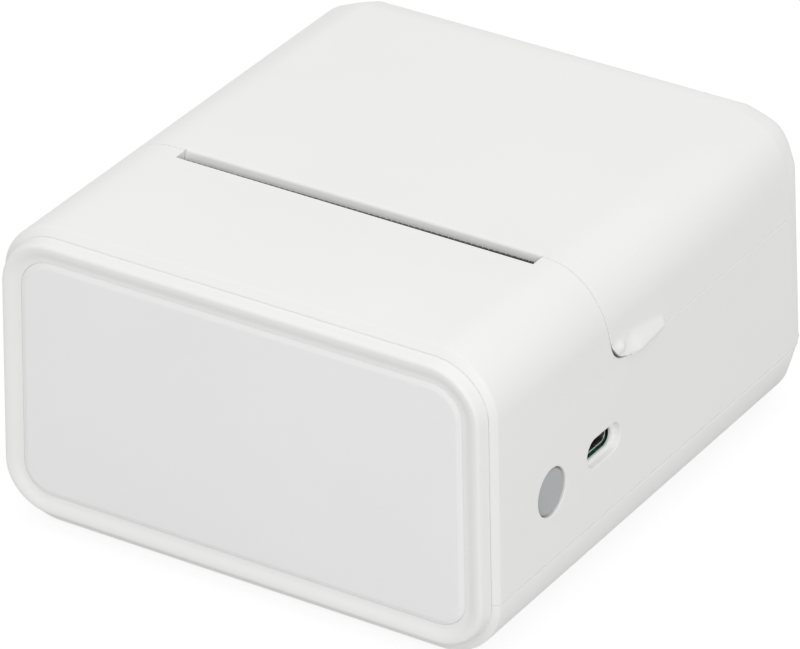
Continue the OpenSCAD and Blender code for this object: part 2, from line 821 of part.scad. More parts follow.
module tear_bar() {
    top = body_h - 0.25;
    bar_y = fy(lid_front) - slot_gap;
    half = slot_w / 2 - 0.2;
    tooth_n = floor(2 * half / tear_pitch);
    color("#1d1e20")
        translate([0, bar_y + 1, 0])
            rotate([90, 0, 0])
                linear_extrude(height = 1)
                    polygon(concat(
                        [[half, tear_z], [half, top - 0.7]],
                        [for (i = [tooth_n - 1 : -1 : 0])
                            each [[(i + 0.5 - tooth_n / 2) * tear_pitch, top],
                                [(i - tooth_n / 2) * tear_pitch, top - 0.7]]],
                        [[-half, top - 0.7], [-half, tear_z]]));
}
module latch_leaves() {
    color(steel)
        both_sides()
            across_from(plate_out, plate_out + 0.5)
                polygon([[platen_y - bush_r - 5, platen_z - 9], [platen_y - bush_r - 2, platen_z - 9],
                    [platen_y - bush_r - 1, platen_z - 2], [platen_y - bush_r - 0.4, platen_z + 3],
                    [platen_y - bush_r - 1.6, platen_z + 4.4], [platen_y - bush_r - 3.6, platen_z + 3]]);
}
module stepper_motor() {
    color("#8f9398") {
        rod(-plate_x, -plate_x + motor_l, motor_y, motor_z, motor_d / 2);
        rod(-plate_x + motor_l - eps, -plate_x + motor_l + 1.2, motor_y, motor_z, 3);
    }
}
module motor_pinion() {
    color(brass)
        spur(-stage_x - stage_w, motor_y, motor_z, motor_m, pinion_teeth, pinion_turn, stage_w);
    color(steel)
        rod(-stage_x - stage_w / 2, -plate_out - 0.2, motor_y, motor_z, 1);
}
module reduction_gear() {
    color("#e8e6df")
        difference() {
            union() {
                spur(-gear_x - gear_w - 0.7, reduction_y, reduction_z, train_m, small_teeth,
                    small_turn, gear_w + 0.6);
                spur(-stage_x - stage_w, reduction_y, reduction_z, motor_m, large_teeth,
                    large_turn, stage_w);
            }
            rod(-stage_x - stage_w - 1, 0, reduction_y, reduction_z, stud_r + run_gap);
        }
}
module idler_gear() {
    color("#e8e6df")
        difference() {
            spur(-gear_x - gear_w, idler_y, idler_z, train_m, idler_teeth, idler_turn, gear_w);
            rod(-gear_x - gear_w - 1, 0, idler_y, idler_z, stud_r + run_gap);
        }
}
module gear_studs() {
    color(steel) {
        rod(-gear_x - gear_w - 0.8, -plate_out, idler_y, idler_z, stud_r);
        rod(-stage_x - stage_w - 0.3, -plate_out, reduction_y, reduction_z, stud_r);
    }
}
module paper_sensor() {
    color(dark_plastic)
        translate([6, frame_back - 7, frame_z + 1.6])
            cube([8, 5, platen_z - 12 - frame_z - 1.6]);
}

// ---- roll bay ----
guide_t = 2.2;
guide_face = media_w / 2 + 0.3;          // inner face of each guide at rest
guide_x = guide_face + guide_t;          // outer face
bay_half = guide_x + 0.5 + liner_floor + 5.8;
bay_front = frame_back + 1;
bay_rear = hinge_y - barrel_r - move_gap - 0.3;
module trough_half_space(r, y0, y1) {
    intersection() {
        union() {
            translate([bay_y, roll_z])
                circle(r = r);
            translate([bay_y - r, roll_z])
                square([2 * r, 30]);
        }
        translate([y0, 0])
            square([y1 - y0, liner_z + liner_t]);
    }
}
module bay_liner() {
    color(inner_grey)
        difference() {
            union() {
                across(2 * bay_half)
                    trough_half_space(trough_out, bay_front, bay_rear);
                intersection() {
                    translate([-body_w, bay_front, liner_z])
                        cube([2 * body_w, bay_rear - bay_front, liner_t]);
                    body_space(wall + 0.4);
                }
            }
            across(2 * bay_half - 3.6)
                trough_half_space(trough_r, bay_y - trough_r - 1, bay_y + trough_r + 1);
            // slots that the guides' necks slide in
            translate([-guide_x - 0.4, bay_y + rack_mid - 1.7, 0])
                cube([guide_x - 5, 3.4, roll_z]);
            translate([5.4, bay_y - rack_mid - 1.7, 0])
                cube([guide_x - 5, 3.4, roll_z]);
            // clearance round the gear train's idler
            translate([-bay_half - 1, bay_front - 1, frame_z])
                cube([2 * bay_half + 2, 1.6, 4]);
        }
}
rack_teeth = 16;
rack_pitch_r = pitch_r(rack_m, rack_teeth);
rack_back = rack_pitch_r + dedendum * rack_m + mesh_gap + 2.6;
rack_mid = rack_back - 1.4;
hub_l = 6;
// Rack along X with its pitch line at y = 0 and teeth toward -Y; a tooth centre at x = phase
module rack_bar(x0, x1, phase) {
    p = PI * rack_m;
    first = ceil((x0 + p / 2 - phase) / p);
    last = floor((x1 - p / 2 - phase) / p);
    h_root = p / 4 - backlash / 2 + dedendum * rack_m * tan(pressure_angle);
    h_tip = p / 4 - backlash / 2 - addendum * rack_m * tan(pressure_angle);
    root = dedendum * rack_m;
    polygon(concat(
        [[x0, rack_back - rack_pitch_r], [x0, root]],
        [for (i = [first : last])
            let (c = phase + i * p)
            each [[c - h_root, root], [c - h_tip, -addendum * rack_m],
                [c + h_tip, -addendum * rack_m], [c + h_root, root]]],
        [[x1, root], [x1, rack_back - rack_pitch_r]]));
}
module roll_guide() {
    difference() {
        union() {
            rod(-guide_x, -guide_face, bay_y, roll_z, guide_r);
            // neck down through the bay's floor, onto the rack
            translate([-guide_x, bay_y + rack_mid - 1.4, rack_z + rack_h])
                cube([guide_t + 3, 2.8, roll_z - rack_z - rack_h - guide_r + 6]);
            rod(-guide_face - eps, -guide_face + hub_l + 0.4, bay_y, roll_z, 4);
        }
        // lightening holes
        for (a = [45 : 90 : 315])
            rod(-guide_x - 1, -guide_face + 0.2, bay_y + guide_r * 0.62 * cos(a),
                roll_z + guide_r * 0.62 * sin(a), guide_r * 0.16);
    }
}
rack_overrun = 7;    // past the pinion's axis at rest
module guide_rack() {
    translate([0, bay_y + rack_pitch_r + mesh_gap, rack_z])
        linear_extrude(height = rack_h)
            rack_bar(-guide_x, rack_overrun, 0);
}
module roll_guide_left() {
    color("#d9dadb")
        roll_guide();
}
module roll_guide_right() {
    color("#d9dadb")
        translate([0, 2 * bay_y, 0])
            rotate([0, 0, 180])
                roll_guide();
}
module guide_rack_left() {
    color("#e8e6df")
        guide_rack();
}
module guide_rack_right() {
    color("#e8e6df")
        translate([0, 2 * bay_y, 0])
            rotate([0, 0, 180])
                guide_rack();
}
module roll_hub() {
    difference() {
        rod(-guide_face + 0.3, -guide_face + 0.3 + hub_l, bay_y, roll_z, hub_d / 2);
        rod(-guide_x, 0, bay_y, roll_z, 4 + run_gap);
        rod(-guide_face + 1.8, 0, bay_y, roll_z, hub_d / 2 - 2);
    }
    difference() {
        rod(-guide_face + 0.3, -guide_face + 0.3 + hub_l - 1, bay_y, roll_z, 6);
        rod(-guide_x, 0, bay_y, roll_z, 4 + run_gap);
    }
}
module roll_hub_left() {
    color("#b9bbbd")
        roll_hub();
}
module roll_hub_right() {
    color("#b9bbbd")
        mirror([1, 0, 0])
            roll_hub();
}
module guide_pinion() {
    color("#e8e6df")
        translate([0, bay_y, rack_z])
            difference() {
                linear_extrude(height = rack_h)
                    polygon(gear_outline(rack_m, rack_teeth, 90 + 180 / rack_teeth));
                translate([0, 0, -1])
                    cylinder(r = 2 + run_gap, h = rack_h + 2);
            }
}

// ---- controls and electronics ----
button_face = half_w(button_z);
button_stem = button_face - 5.6;
module power_button() {
    color("#a9abac") {
        rod(button_stem, button_face - 0.6, fy(button_y), button_z, button_d / 2);
        translate([button_face - 0.6 - eps, fy(button_y), button_z])
            rotate([0, 90, 0])
                cylinder(r1 = button_d / 2, r2 = button_d / 2 - 0.6, h = 0.6);
        rod(button_stem, button_stem + 1.2, fy(button_y), button_z, button_d / 2 + 1.4);
    }
}
module button_switch() {
    tip = button_stem - button_travel - 0.1;
    color(dark_plastic)
        translate([tip - 5.4, fy(button_y) - 3, board_z + board_t])
            cube([4, 6, button_z + 2 - board_z - board_t]);
    color(steel)
        rod(tip - 1.4 - eps, tip, fy(button_y), button_z, 1);
}
module main_board() {
    edge = button_stem - button_travel - 0.4;
    tab_y = post_front_y + post_r + 0.6;
    color("#2f6b46")
        difference() {
            translate([board_left, board_front, board_z])
                cube([board_right - board_left, board_back - board_front, board_t]);
            // the button's travel and the frame's column
            translate([edge, board_front - 1, board_z - 1])
                cube([board_right, tab_y - board_front + 1, board_t + 2]);
            translate([post_x - post_r - 0.6, post_front_y - post_r - 0.6, board_z - 1])
                cube([board_right, 2 * post_r + 1.2, board_t + 2]);
        }
}
module board_parts() {
    top = board_z + board_t;
    inner_x = usb_face - usb_l - 2;      // room is left beside the charging port
    color(dark_plastic) {
        translate([inner_x - 18, fy(17), top])
            cube([9, 9, 1.2]);
        translate([inner_x - 36, fy(44), top])
            cube([6, 5, 1.2]);
    }
    color("#d7d9da")
        translate([inner_x - 12, fy(44), top])
            cube([12, 9, 1.6]);
}
usb_l = 7.4;
usb_w = 8.94;
usb_h = 3.2;
usb_face = half_w(port_z) - 2.4;
module usb_port() {
    color(steel)
        difference() {
            translate([usb_face - usb_l, fy(port_y), port_z])
                rotate([90, 0, 90])
                    linear_extrude(height = usb_l)
                        stadium(usb_w, usb_h);
            translate([usb_face - usb_l + 1, fy(port_y), port_z])
                rotate([90, 0, 90])
                    linear_extrude(height = usb_l)
                        stadium(usb_w - 0.6, usb_h - 0.6);
        }
    color(dark_plastic)
        translate([usb_face - usb_l + 0.9, fy(port_y) - 3.35, port_z - 0.35])
            cube([5.4, 6.7, 0.7]);
}
module battery_pack() {
    color("#3f6fae")
        translate([0, battery_y, battery_z + battery_h / 2])
            across(battery_l)
                stadium(battery_w, battery_h);
}

main_housing();
bottom_cover();
rubber_feet();
cover_screws();
front_bezel();
front_panel();
lid();
platen_carrier();
carrier_screws();
hinge_pins();
platen_roller();
platen_shaft();
platen_gear();
platen_bushes();
mechanism_frame();
head_heatsink();
print_head();
head_rod();
head_springs();
tear_bar();
latch_leaves();
stepper_motor();
motor_pinion();
reduction_gear();
idler_gear();
gear_studs();
paper_sensor();
bay_liner();
roll_guide_left();
roll_guide_right();
guide_rack_left();
guide_rack_right();
roll_hub_left();
roll_hub_right();
guide_pinion();
power_button();
button_switch();
main_board();
board_parts();
usb_port();
battery_pack();
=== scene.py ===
# Portable thermal label printer: matte white ABS shells with a hinged rear lid, a tear
# slot across the top, and the print mechanism, circuit board and battery inside.
# Millimetres are used for every size here and scaled to metres when a mesh is finished.
import math

import bmesh
import bpy
from mathutils import Matrix, Vector, geometry


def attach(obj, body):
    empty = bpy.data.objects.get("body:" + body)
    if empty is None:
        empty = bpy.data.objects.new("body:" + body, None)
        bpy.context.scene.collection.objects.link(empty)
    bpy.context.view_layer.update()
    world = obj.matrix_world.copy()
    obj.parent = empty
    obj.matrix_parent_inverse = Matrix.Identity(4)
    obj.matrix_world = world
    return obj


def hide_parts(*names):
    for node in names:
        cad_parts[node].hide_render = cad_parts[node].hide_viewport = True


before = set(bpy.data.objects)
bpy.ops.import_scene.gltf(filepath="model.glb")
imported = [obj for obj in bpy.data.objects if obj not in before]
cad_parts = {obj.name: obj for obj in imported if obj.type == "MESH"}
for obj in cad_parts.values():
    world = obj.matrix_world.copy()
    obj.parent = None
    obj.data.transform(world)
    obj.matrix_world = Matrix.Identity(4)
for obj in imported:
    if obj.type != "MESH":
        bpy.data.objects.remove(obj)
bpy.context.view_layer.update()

# ---- the view ----
# A long lens looks down on the printer from its front right corner.
camera = bpy.data.objects.new("camera", bpy.data.cameras.new("camera"))
bpy.context.collection.objects.link(camera)
bpy.context.scene.camera = camera
camera.data.lens = 293.2
camera.data.sensor_width = 36
camera_turn, camera_rise, camera_roll = (math.radians(a) for a in (32.178, 29.778, -0.259))
back = Vector((
    math.sin(camera_turn) * math.cos(camera_rise),
    -math.cos(camera_turn) * math.cos(camera_rise),
    math.sin(camera_rise),
))
level = Vector((math.cos(camera_turn), math.sin(camera_turn), 0))
upright = back.cross(level)
right = level * math.cos(camera_roll) + upright * math.sin(camera_roll)
top = upright * math.cos(camera_roll) - level * math.sin(camera_roll)
camera.matrix_world = Matrix.Translation((0.6069, -0.9702, 0.6838)) @ Matrix(
    (right, top, back)
).transposed().to_4x4()

# ---- main housing ----
# The lower and front shell of the printer, injection moulded in white ABS against a
# spark-eroded mould. Its front top deck ends at the tear slot; behind that the lid takes over.
LOW, HIGH = 0.8, 67.6
CORNER_R, LOW_R = 13.5, 12.7
WALL = 2.2
LOW_Z = LOW + LOW_R  # where the sides are widest
HALF_WIDTH = 57.85
BACK_Y = 66.45
FRONT_Y = -66.45  # the crest of the bezel's bead
MOUTH = 5.3  # how far behind the crest the body's rolled sides end
SIDE_DRAFT, BACK_LEAN = (math.tan(math.radians(a)) for a in (1.1, 3.25))
# the chamfer round the front, as (inset, distance behind the crest), and how much farther
# than at the sides it draws in below and above
FRONT_EDGE = ((0.06, 4.98), (0.2, 4.78), (1.38, 3.96), (1.45, 3.9))
FRONT_RISE, FRONT_DROP = 0.6, 0.5
COVER_SEAM, COVER_GAP = 14.0, 0.05
HINGE_Y, HINGE_Z, BARREL_R = 61.439, 45.4, 3.2
SEAM_Z, SEAM_GAP = 45.6, 0.06
SLOT_LEFT, SLOT_RIGHT, SLOT_FRONT, LID_FRONT = -40.5, 42.7, -25.05, -21.65


def linear(code):
    """The linear colour of an sRGB hex code."""
    parts = [int(code[i:i + 2], 16) / 255 for i in (0, 2, 4)]
    return (*((c / 12.92 if c <= 0.04045 else ((c + 0.055) / 1.055) ** 2.4) for c in parts), 1)


def node(tree, kind, values=(), links=(), **settings):
    """Adds a shader node with its settings, its sockets' values and the sockets linked to them."""
    new = tree.nodes.new(kind)
    for name, value in settings.items():
        setattr(new, name, value)
    for name, value in dict(values).items():
        new.inputs[name].default_value = value
    for name, source in dict(links).items():
        tree.links.new(source, new.inputs[name])
    return new


def moulded_plastic(name, code, roughness, grain_mm, grain_depth, mottle, ior=1.53):
    """A moulded plastic: an even tint with faint flow mottling and the mould's eroded grain.
    The grain's pitch and depth are in millimetres, and mottle is how far the tint varies."""
    material = bpy.data.materials.new(name)
    material.use_nodes = True
    tree = material.node_tree
    shader = tree.nodes["Principled BSDF"]
    shader.inputs["IOR"].default_value = ior
    where = node(tree, "ShaderNodeTexCoord").outputs["Object"]
    # flow marks and slight unevenness of the tint, about 25 mm across
    flow = node(tree, "ShaderNodeTexNoise", {"Scale": 1 / 0.025, "Detail": 3.0}, {"Vector": where})
    tint = node(tree, "ShaderNodeValToRGB", links={"Fac": flow.outputs["Fac"]})
    tint.color_ramp.elements[0].position = 0.3
    tint.color_ramp.elements[1].position = 0.7
    base = linear(code)
    tint.color_ramp.elements[0].color = (*(c * (1 - mottle) for c in base[:3]), 1)
    tint.color_ramp.elements[1].color = (*(min(1, c * (1 + mottle)) for c in base[:3]), 1)
    tree.links.new(tint.outputs["Color"], shader.inputs["Base Color"])
    # the eroded grain, which scatters the gloss and stands a few microns proud
    grain = node(tree, "ShaderNodeTexNoise",
                 {"Scale": 1000 / grain_mm, "Detail": 4.0, "Roughness": 0.6}, {"Vector": where})
    gloss = node(tree, "ShaderNodeMapRange",
                 {"To Min": roughness - 0.04, "To Max": roughness + 0.04},
                 {"Value": grain.outputs["Fac"]})
    tree.links.new(gloss.outputs["Result"], shader.inputs["Roughness"])
    bump = node(tree, "ShaderNodeBump", {"Strength": 1.0, "Distance": grain_depth / 1000},
                {"Height": grain.outputs["Fac"]})
    tree.links.new(bump.outputs["Normal"], shader.inputs["Normal"])
    return material


# Spark-eroded white ABS: matte and even, with a grain drawn 0.5 mm coarse, as the real one of
# 0.1 mm is too fine to show.
shell_abs = moulded_plastic("spark_eroded_white_abs", "f1f1f0", 0.5, 0.5, 0.004, 0.006)


def half_width(z):
    """Half the body's width at a height on its drafted sides."""
    return HALF_WIDTH - SIDE_DRAFT * (z - LOW_Z)


def rear(z):
    """How far back the leaning rear wall lies at a height."""
    return BACK_Y - BACK_LEAN * (z - LOW_Z)


def corner_run(radius, angle):
    """How far the rounding of an edge reaches along its faces, which meet at this angle."""
    return radius / math.tan(math.radians(angle) / 2)


def evaluated(obj):
    """A new bmesh of the object with its modifiers applied; the object is removed."""
    bpy.context.view_layer.update()
    graph = bpy.context.evaluated_depsgraph_get()
    mesh = bpy.data.meshes.new_from_object(obj.evaluated_get(graph))
    bm = bmesh.new()
    bm.from_mesh(mesh)
    bpy.data.objects.remove(obj)
    bpy.data.meshes.remove(mesh)
    return bm


def loose_object(bm, name):
    """A working object of the bmesh, in millimetres."""
    mesh = bpy.data.meshes.new(name)
    bm.to_mesh(mesh)
    bm.free()
    obj = bpy.data.objects.new(name, mesh)
    bpy.context.collection.objects.link(obj)
    return obj


def front_face(bm):
    """The face that lies farthest forward."""
    return min(bm.faces, key=lambda f: f.calc_center_median().y)


def stepped(bm, face, steps, inset, y):
    """Grows a face forward by steps of (inset, distance behind the front)."""
    for next_inset, next_y in steps:
        bmesh.ops.inset_region(bm, faces=[face], thickness=next_inset - inset,
                               depth=y - next_y, use_even_offset=True, use_boundary=True)
        inset, y = next_inset, next_y


def body_form(chamfered=True):
    """The closed outer form of the body behind the bezel: a drafted box with its four long
    edges and its back edges rolled, and, if chamfered, the narrow chamfer round its front."""
    bm = bmesh.new()
    bmesh.ops.create_cube(bm, size=2)
    for v in bm.verts:
        z = HIGH if v.co.z > 0 else LOW
        y = rear(z) if v.co.y > 0 else FRONT_Y + MOUTH
        v.co = (math.copysign(half_width(z), v.co.x), y, z)
    weight = bm.edges.layers.float.new("bevel_weight_edge")
    lean, draft = math.degrees(math.atan(BACK_LEAN)), math.degrees(math.atan(SIDE_DRAFT))
    full_width = 20  # the rounding that a weight of 1 stands for
    for e in bm.edges:
        along = e.verts[1].co - e.verts[0].co
        middle = (e.verts[0].co + e.verts[1].co) / 2
        if abs(middle.y - FRONT_Y - MOUTH) < 1:
            continue
        radius = CORNER_R if middle.z > 20 else LOW_R
        if abs(along.z) > 1:
            run = CORNER_R
        else:
            tilt = draft if abs(along.y) > 1 else lean
            run = corner_run(radius, 90 + (tilt if middle.z > 40 else -tilt))
        e[weight] = run / full_width
    obj = loose_object(bm, "body_form")
    bevel = obj.modifiers.new("roll", "BEVEL")
    bevel.limit_method = "WEIGHT"
    bevel.width = full_width
    bevel.segments = 20
    bevel.profile = 0.5
    bevel.use_clamp_overlap = False
    bm = evaluated(obj)
    if not chamfered:
        return bm
    stepped(bm, front_face(bm), FRONT_EDGE, 0, MOUTH)
    # each ring of the chamfer, found by its distance, moves by its share of the whole inset;
    # below, the outermost rings also come forward, so that the chamfer is narrower there
    share_at = {round(FRONT_Y + y, 2): inset / FRONT_EDGE[-1][0]
                for inset, y in ((0, MOUTH), *FRONT_EDGE)}
    for v in bm.verts:
        share = share_at.get(round(v.co.y, 2))
        if share is not None:
            below = max(0, (LOW_Z - v.co.z) / LOW_R)
            above = max(0, (v.co.z - HIGH + CORNER_R) / CORNER_R)
            forward = max(0, 1 - 2 * share) * below
            v.co.z += share * (FRONT_RISE * below - FRONT_DROP * above)
            v.co.y -= forward
            v.co.z -= 0.3 * forward
    return bm


def open_front(bm):
    """Opens the form's front, with a narrow land left round the mouth."""
    mouth = front_face(bm)
    bmesh.ops.inset_region(bm, faces=[mouth], thickness=1.3, use_even_offset=True,
                           use_boundary=True)
    bmesh.ops.delete(bm, geom=[mouth], context="FACES")


def cut(bm, point, normal, within=lambda c: True):
    """Splits the faces whose centres lie within a region by a plane."""
    faces = [f for f in bm.faces if within(f.calc_center_median())]
    verts = {v for f in faces for v in f.verts}
    edges = {e for f in faces for e in f.edges}
    bmesh.ops.bisect_plane(bm, geom=[*verts, *edges, *faces], dist=1e-4,
                           plane_co=point, plane_no=normal)


def drop(bm, test):
    """Deletes the faces whose centres pass a test."""
    bmesh.ops.delete(bm, geom=[f for f in bm.faces if test(f.calc_center_median())],
                     context="FACES")


def cut_along(bm, line, within):
    """Cuts along a line of (y, z) points that runs across the machine at every x."""
    for y, z in line:
        cut(bm, (0, y, z), (0, 0, 1), within)
    for (y0, z0), (y1, z1) in zip(line, line[1:]):
        low, high = sorted((z0, z1))
        cut(bm, (0, y0, z0), (0, z1 - z0, y0 - y1),
            lambda c, a=low, b=high: within(c) and a < c.z < b)


def lid_seam(shift, corner):
    """The seam from the top of the lid's front edge, down and round its corner to the side.
    Corner gives where the lower curve starts, bends and ends, from the seam's own corner."""
    y, z = LID_FRONT + shift, SEAM_Z + shift
    start_z, bend_y, bend_z, foot_y, foot_z, end_y = corner
    joint = (y + 2.4, z + start_z, 0)
    first = geometry.interpolate_bezier((y, 62.8, 0), (y + 0.25, 56.8, 0),
                                        (y + 1.75, z + 6.9, 0), joint, 9)
    last = geometry.interpolate_bezier(joint, (y + bend_y, z + bend_z, 0),
                                       (y + foot_y, z + foot_z, 0), (y + end_y, z, 0), 9)
    return [(y, HIGH + 1), *((p.x, p.y) for p in [*first, *last[1:]])]


def behind(line, c):
    """Whether a point lies behind the seam's line."""
    for (y0, z0), (y1, z1) in zip(line, line[1:]):
        if z1 <= c.z <= z0:
            return c.y > y0 + (y1 - y0) * (c.z - z0) / (z1 - z0)
    return False


def scaled(bm):
    """Brings a mesh from millimetres to metres."""
    bmesh.ops.scale(bm, vec=(0.001, 0.001, 0.001), verts=bm.verts)
    return bm


def piece(bm, name, material, body, replaced=(), sharp=40, recalc=False):
    """Makes a finished piece of a bmesh in millimetres, riding on its CAD body."""
    if recalc:
        bmesh.ops.recalc_face_normals(bm, faces=bm.faces)
    for f in bm.faces:
        f.smooth = True
    scaled(bm)
    mesh = bpy.data.meshes.new(name)
    bm.to_mesh(mesh)
    bm.free()
    mesh.set_sharp_from_angle(angle=math.radians(sharp))
    obj = bpy.data.objects.new(name, mesh)
    bpy.context.collection.objects.link(obj)
    mesh.materials.append(material)
    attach(obj, body)
    if replaced:
        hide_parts(*replaced)
    return obj


def soften(bm):
    """Marks a shell's sharp edges for rounding, apart from those of its hidden mouth."""
    mouth_y = FRONT_Y + MOUTH - 0.1
    layer = bm.edges.layers.float.get("bevel_weight_edge")
    layer = layer or bm.edges.layers.float.new("bevel_weight_edge")
    for e in bm.edges:
        seen = min(v.co.y for v in e.verts) > mouth_y
        e[layer] = float(seen and e.calc_face_angle(0) > math.radians(35))


def rounded(obj, width):
    """Gives the marked edges the small radius that a mould has."""
    edge = obj.modifiers.new("edge_radius", "BEVEL")
    edge.width = width / 1000
    edge.segments = 3
    edge.profile = 0.5
    edge.limit_method = "WEIGHT"
    edge.use_clamp_overlap = False
    edge.harden_normals = True


def thickened(bm, wall):
    """The sheet with its wall grown inwards."""
    obj = loose_object(bm, "sheet")
    grow = obj.modifiers.new("wall", "SOLIDIFY")
    grow.thickness = wall
    grow.offset = -1
    grow.use_even_offset = True
    grow.use_quality_normals = True
    return evaluated(obj)


def combined(bm, other, operation):
    """The solid after another is added to it, cut from it, or kept only where both are."""
    a, b = loose_object(bm, "solid"), loose_object(other, "tool")
    mod = a.modifiers.new("combine", "BOOLEAN")
    mod.operation = operation
    mod.solver = "EXACT"
    mod.object = b
    result = evaluated(a)
    bpy.data.objects.remove(b)
    return result


def bar(x0, x1, y, z, r, segments=48):
    """A round bar along X."""
    bm = bmesh.new()
    bmesh.ops.create_cone(bm, cap_ends=True, segments=segments, radius1=r, radius2=r,
                          depth=x1 - x0,
                          matrix=Matrix.Translation(((x0 + x1) / 2, y, z))
                          @ Matrix.Rotation(math.pi / 2, 4, "Y"))
    return bm


def prism(outline, along):
    """A solid whose flat outline, a list of points, is drawn out along a vector."""
    bm = bmesh.new()
    face = bm.faces.new([bm.verts.new(point) for point in outline])
    grown = bmesh.ops.extrude_face_region(bm, geom=[face])
    bmesh.ops.translate(bm, vec=along,
                        verts=[v for v in grown["geom"] if isinstance(v, bmesh.types.BMVert)])
    bmesh.ops.recalc_face_normals(bm, faces=bm.faces)
    return bm


def post(x, y, z0, z1, r):
    """A round bar along Z."""
    bm = bmesh.new()
    bmesh.ops.create_cone(bm, cap_ends=True, segments=40, radius1=r, radius2=r, depth=z1 - z0,
                          matrix=Matrix.Translation((x, y, (z0 + z1) / 2)))
    return bm


def block(x0, x1, y0, y1, z0, z1, radius=0, segments=3):
    """A rectangular block, with its edges rounded where a radius is given."""
    bm = bmesh.new()
    bmesh.ops.create_cube(bm, size=1, matrix=Matrix.Translation(
        ((x0 + x1) / 2, (y0 + y1) / 2, (z0 + z1) / 2)) @ Matrix.Diagonal(
        (x1 - x0, y1 - y0, z1 - z0, 1)))
    if radius:
        bmesh.ops.bevel(bm, geom=bm.edges[:], offset=radius, segments=segments, profile=0.5,
                        affect="EDGES", material=-1, clamp_overlap=True)
    return bm


def stadium(length, height, y, z, x0, x1, flare=0):
    """A bar along X with round ends to its section, its length along Y; its x1 end may flare."""
    bm = bmesh.new()
    bmesh.ops.create_circle(bm, cap_ends=True, radius=height / 2, segments=48,
                            matrix=Matrix.Rotation(math.pi / 2, 4, "Y"))
    for v in bm.verts:
        if abs(v.co.y) > 1e-4:
            v.co.y += math.copysign((length - height) / 2, v.co.y)
    bmesh.ops.translate(bm, vec=(x0, y, z), verts=bm.verts)
    grown = bmesh.ops.extrude_face_region(bm, geom=bm.faces[:])
    end = [v for v in grown["geom"] if isinstance(v, bmesh.types.BMVert)]
    bmesh.ops.translate(bm, vec=(x1 - x0, 0, 0), verts=end)
    for v in end:
        v.co.y += flare * (v.co.y - y) / (length / 2)
        v.co.z += flare * (v.co.z - z) / (height / 2)
    bmesh.ops.recalc_face_normals(bm, faces=bm.faces)
    return bm


SEAM_BAND = (-28, -9)  # the lid's seam comes down between these
DECK_Z = 64  # only the flat top lies above this


def in_band(c):
    return SEAM_BAND[0] < c.y < SEAM_BAND[1] and c.z > SEAM_Z


housing = body_form()
open_front(housing)
cut(housing, (0, 0, COVER_SEAM + COVER_GAP), (0, 0, 1))
drop(housing, lambda c: c.z < COVER_SEAM + COVER_GAP)
seam_line = lid_seam(0, (4.85, 3.2, 2.3, 5.0, 0.0, 9.0))
cut(housing, (0, 0, SEAM_Z), (0, 0, 1))
for y in SEAM_BAND:
    cut(housing, (0, y, 0), (0, 1, 0), lambda c: c.z > SEAM_Z)
cut_along(housing, seam_line, in_band)
drop(housing, lambda c: c.z > SEAM_Z and (c.y > SEAM_BAND[1] or behind(seam_line, c)))
# the trough that the lid's hinge barrel turns in
trough_r = BARREL_R + 0.3
trough_foot = HINGE_Z - trough_r
trough = [(HINGE_Y - trough_r * math.cos(a), HINGE_Z - trough_r * math.sin(a))
          for a in (math.radians(15 * i) for i in range(7))]
cut(housing, (0, 0, trough_foot), (0, 0, 1))
for y, z in trough:
    cut(housing, (0, y, 0), (0, 1, 0), lambda c: c.z > trough_foot)
for (y0, z0), (y1, z1) in zip(trough, trough[1:]):
    cut(housing, (0, y0, z0), (0, z1 - z0, y0 - y1),
        lambda c, a=y0, b=y1: a < c.y < b and c.z > trough_foot)
drop(housing, lambda c: math.hypot(c.y - HINGE_Y, c.z - HINGE_Z) < trough_r * 0.995
     or (c.y > HINGE_Y and c.z > trough_foot))
# the paper slot, a notch in the deck's rear edge
for x in (SLOT_LEFT, SLOT_RIGHT):
    cut(housing, (x, 0, 0), (1, 0, 0), lambda c: c.z > DECK_Z and in_band(c))
cut(housing, (0, SLOT_FRONT, 0), (0, 1, 0),
    lambda c: c.z > DECK_Z and in_band(c) and SLOT_LEFT < c.x < SLOT_RIGHT)
drop(housing, lambda c: c.z > DECK_Z and SLOT_FRONT < c.y and SLOT_LEFT < c.x < SLOT_RIGHT)
# slivers at the trough's foot are merged, and two rings hold the shading of the rear corners
foot_verts = [v for v in housing.verts if v.co.y > 50 and abs(v.co.z - trough_foot) < 0.2]
bmesh.ops.remove_doubles(housing, verts=foot_verts, dist=0.12)
for z in (trough_foot - 1.2, COVER_SEAM + 1.2):
    cut(housing, (0, 0, z), (0, 0, 1), lambda c: c.y > 45)
housing = thickened(housing, WALL)
# button bore and the charging port's recess with the receptacle's opening in its floor
BUTTON_Y, BUTTON_Z, PORT_Y, PORT_Z = -42.05, 29.3, -22.25, 29.8
side_x = half_width(PORT_Z)
housing = combined(housing, bar(50, 62, BUTTON_Y, BUTTON_Z, 5.2, 72), "DIFFERENCE")
housing = combined(housing, stadium(12.0, 5.7, PORT_Y, PORT_Z, side_x - 1.4, side_x + 0.6, 0.55),
                   "DIFFERENCE")
housing = combined(housing, stadium(10.0, 4.2, PORT_Y, PORT_Z, side_x - 4, side_x, 0),
                   "DIFFERENCE")
# hinge knuckles with their feet on the back wall, between the barrels of the lid
KNUCKLE = (24.15, 35.85)
for side in (-1, 1):
    x0, x1 = sorted(side * x for x in KNUCKLE)
    knuckle = bar(x0, x1, HINGE_Y, HINGE_Z, BARREL_R, 48)
    foot = block(x0, x1, HINGE_Y - BARREL_R, HINGE_Y, HINGE_Z - 9, HINGE_Z)
    knuckle = combined(knuckle, foot, "UNION")
    web = block(x0, x1, HINGE_Y - BARREL_R, HINGE_Y + 2.1, HINGE_Z - 9, HINGE_Z - 3.5)
    housing = combined(housing, combined(knuckle, web, "UNION"), "UNION")
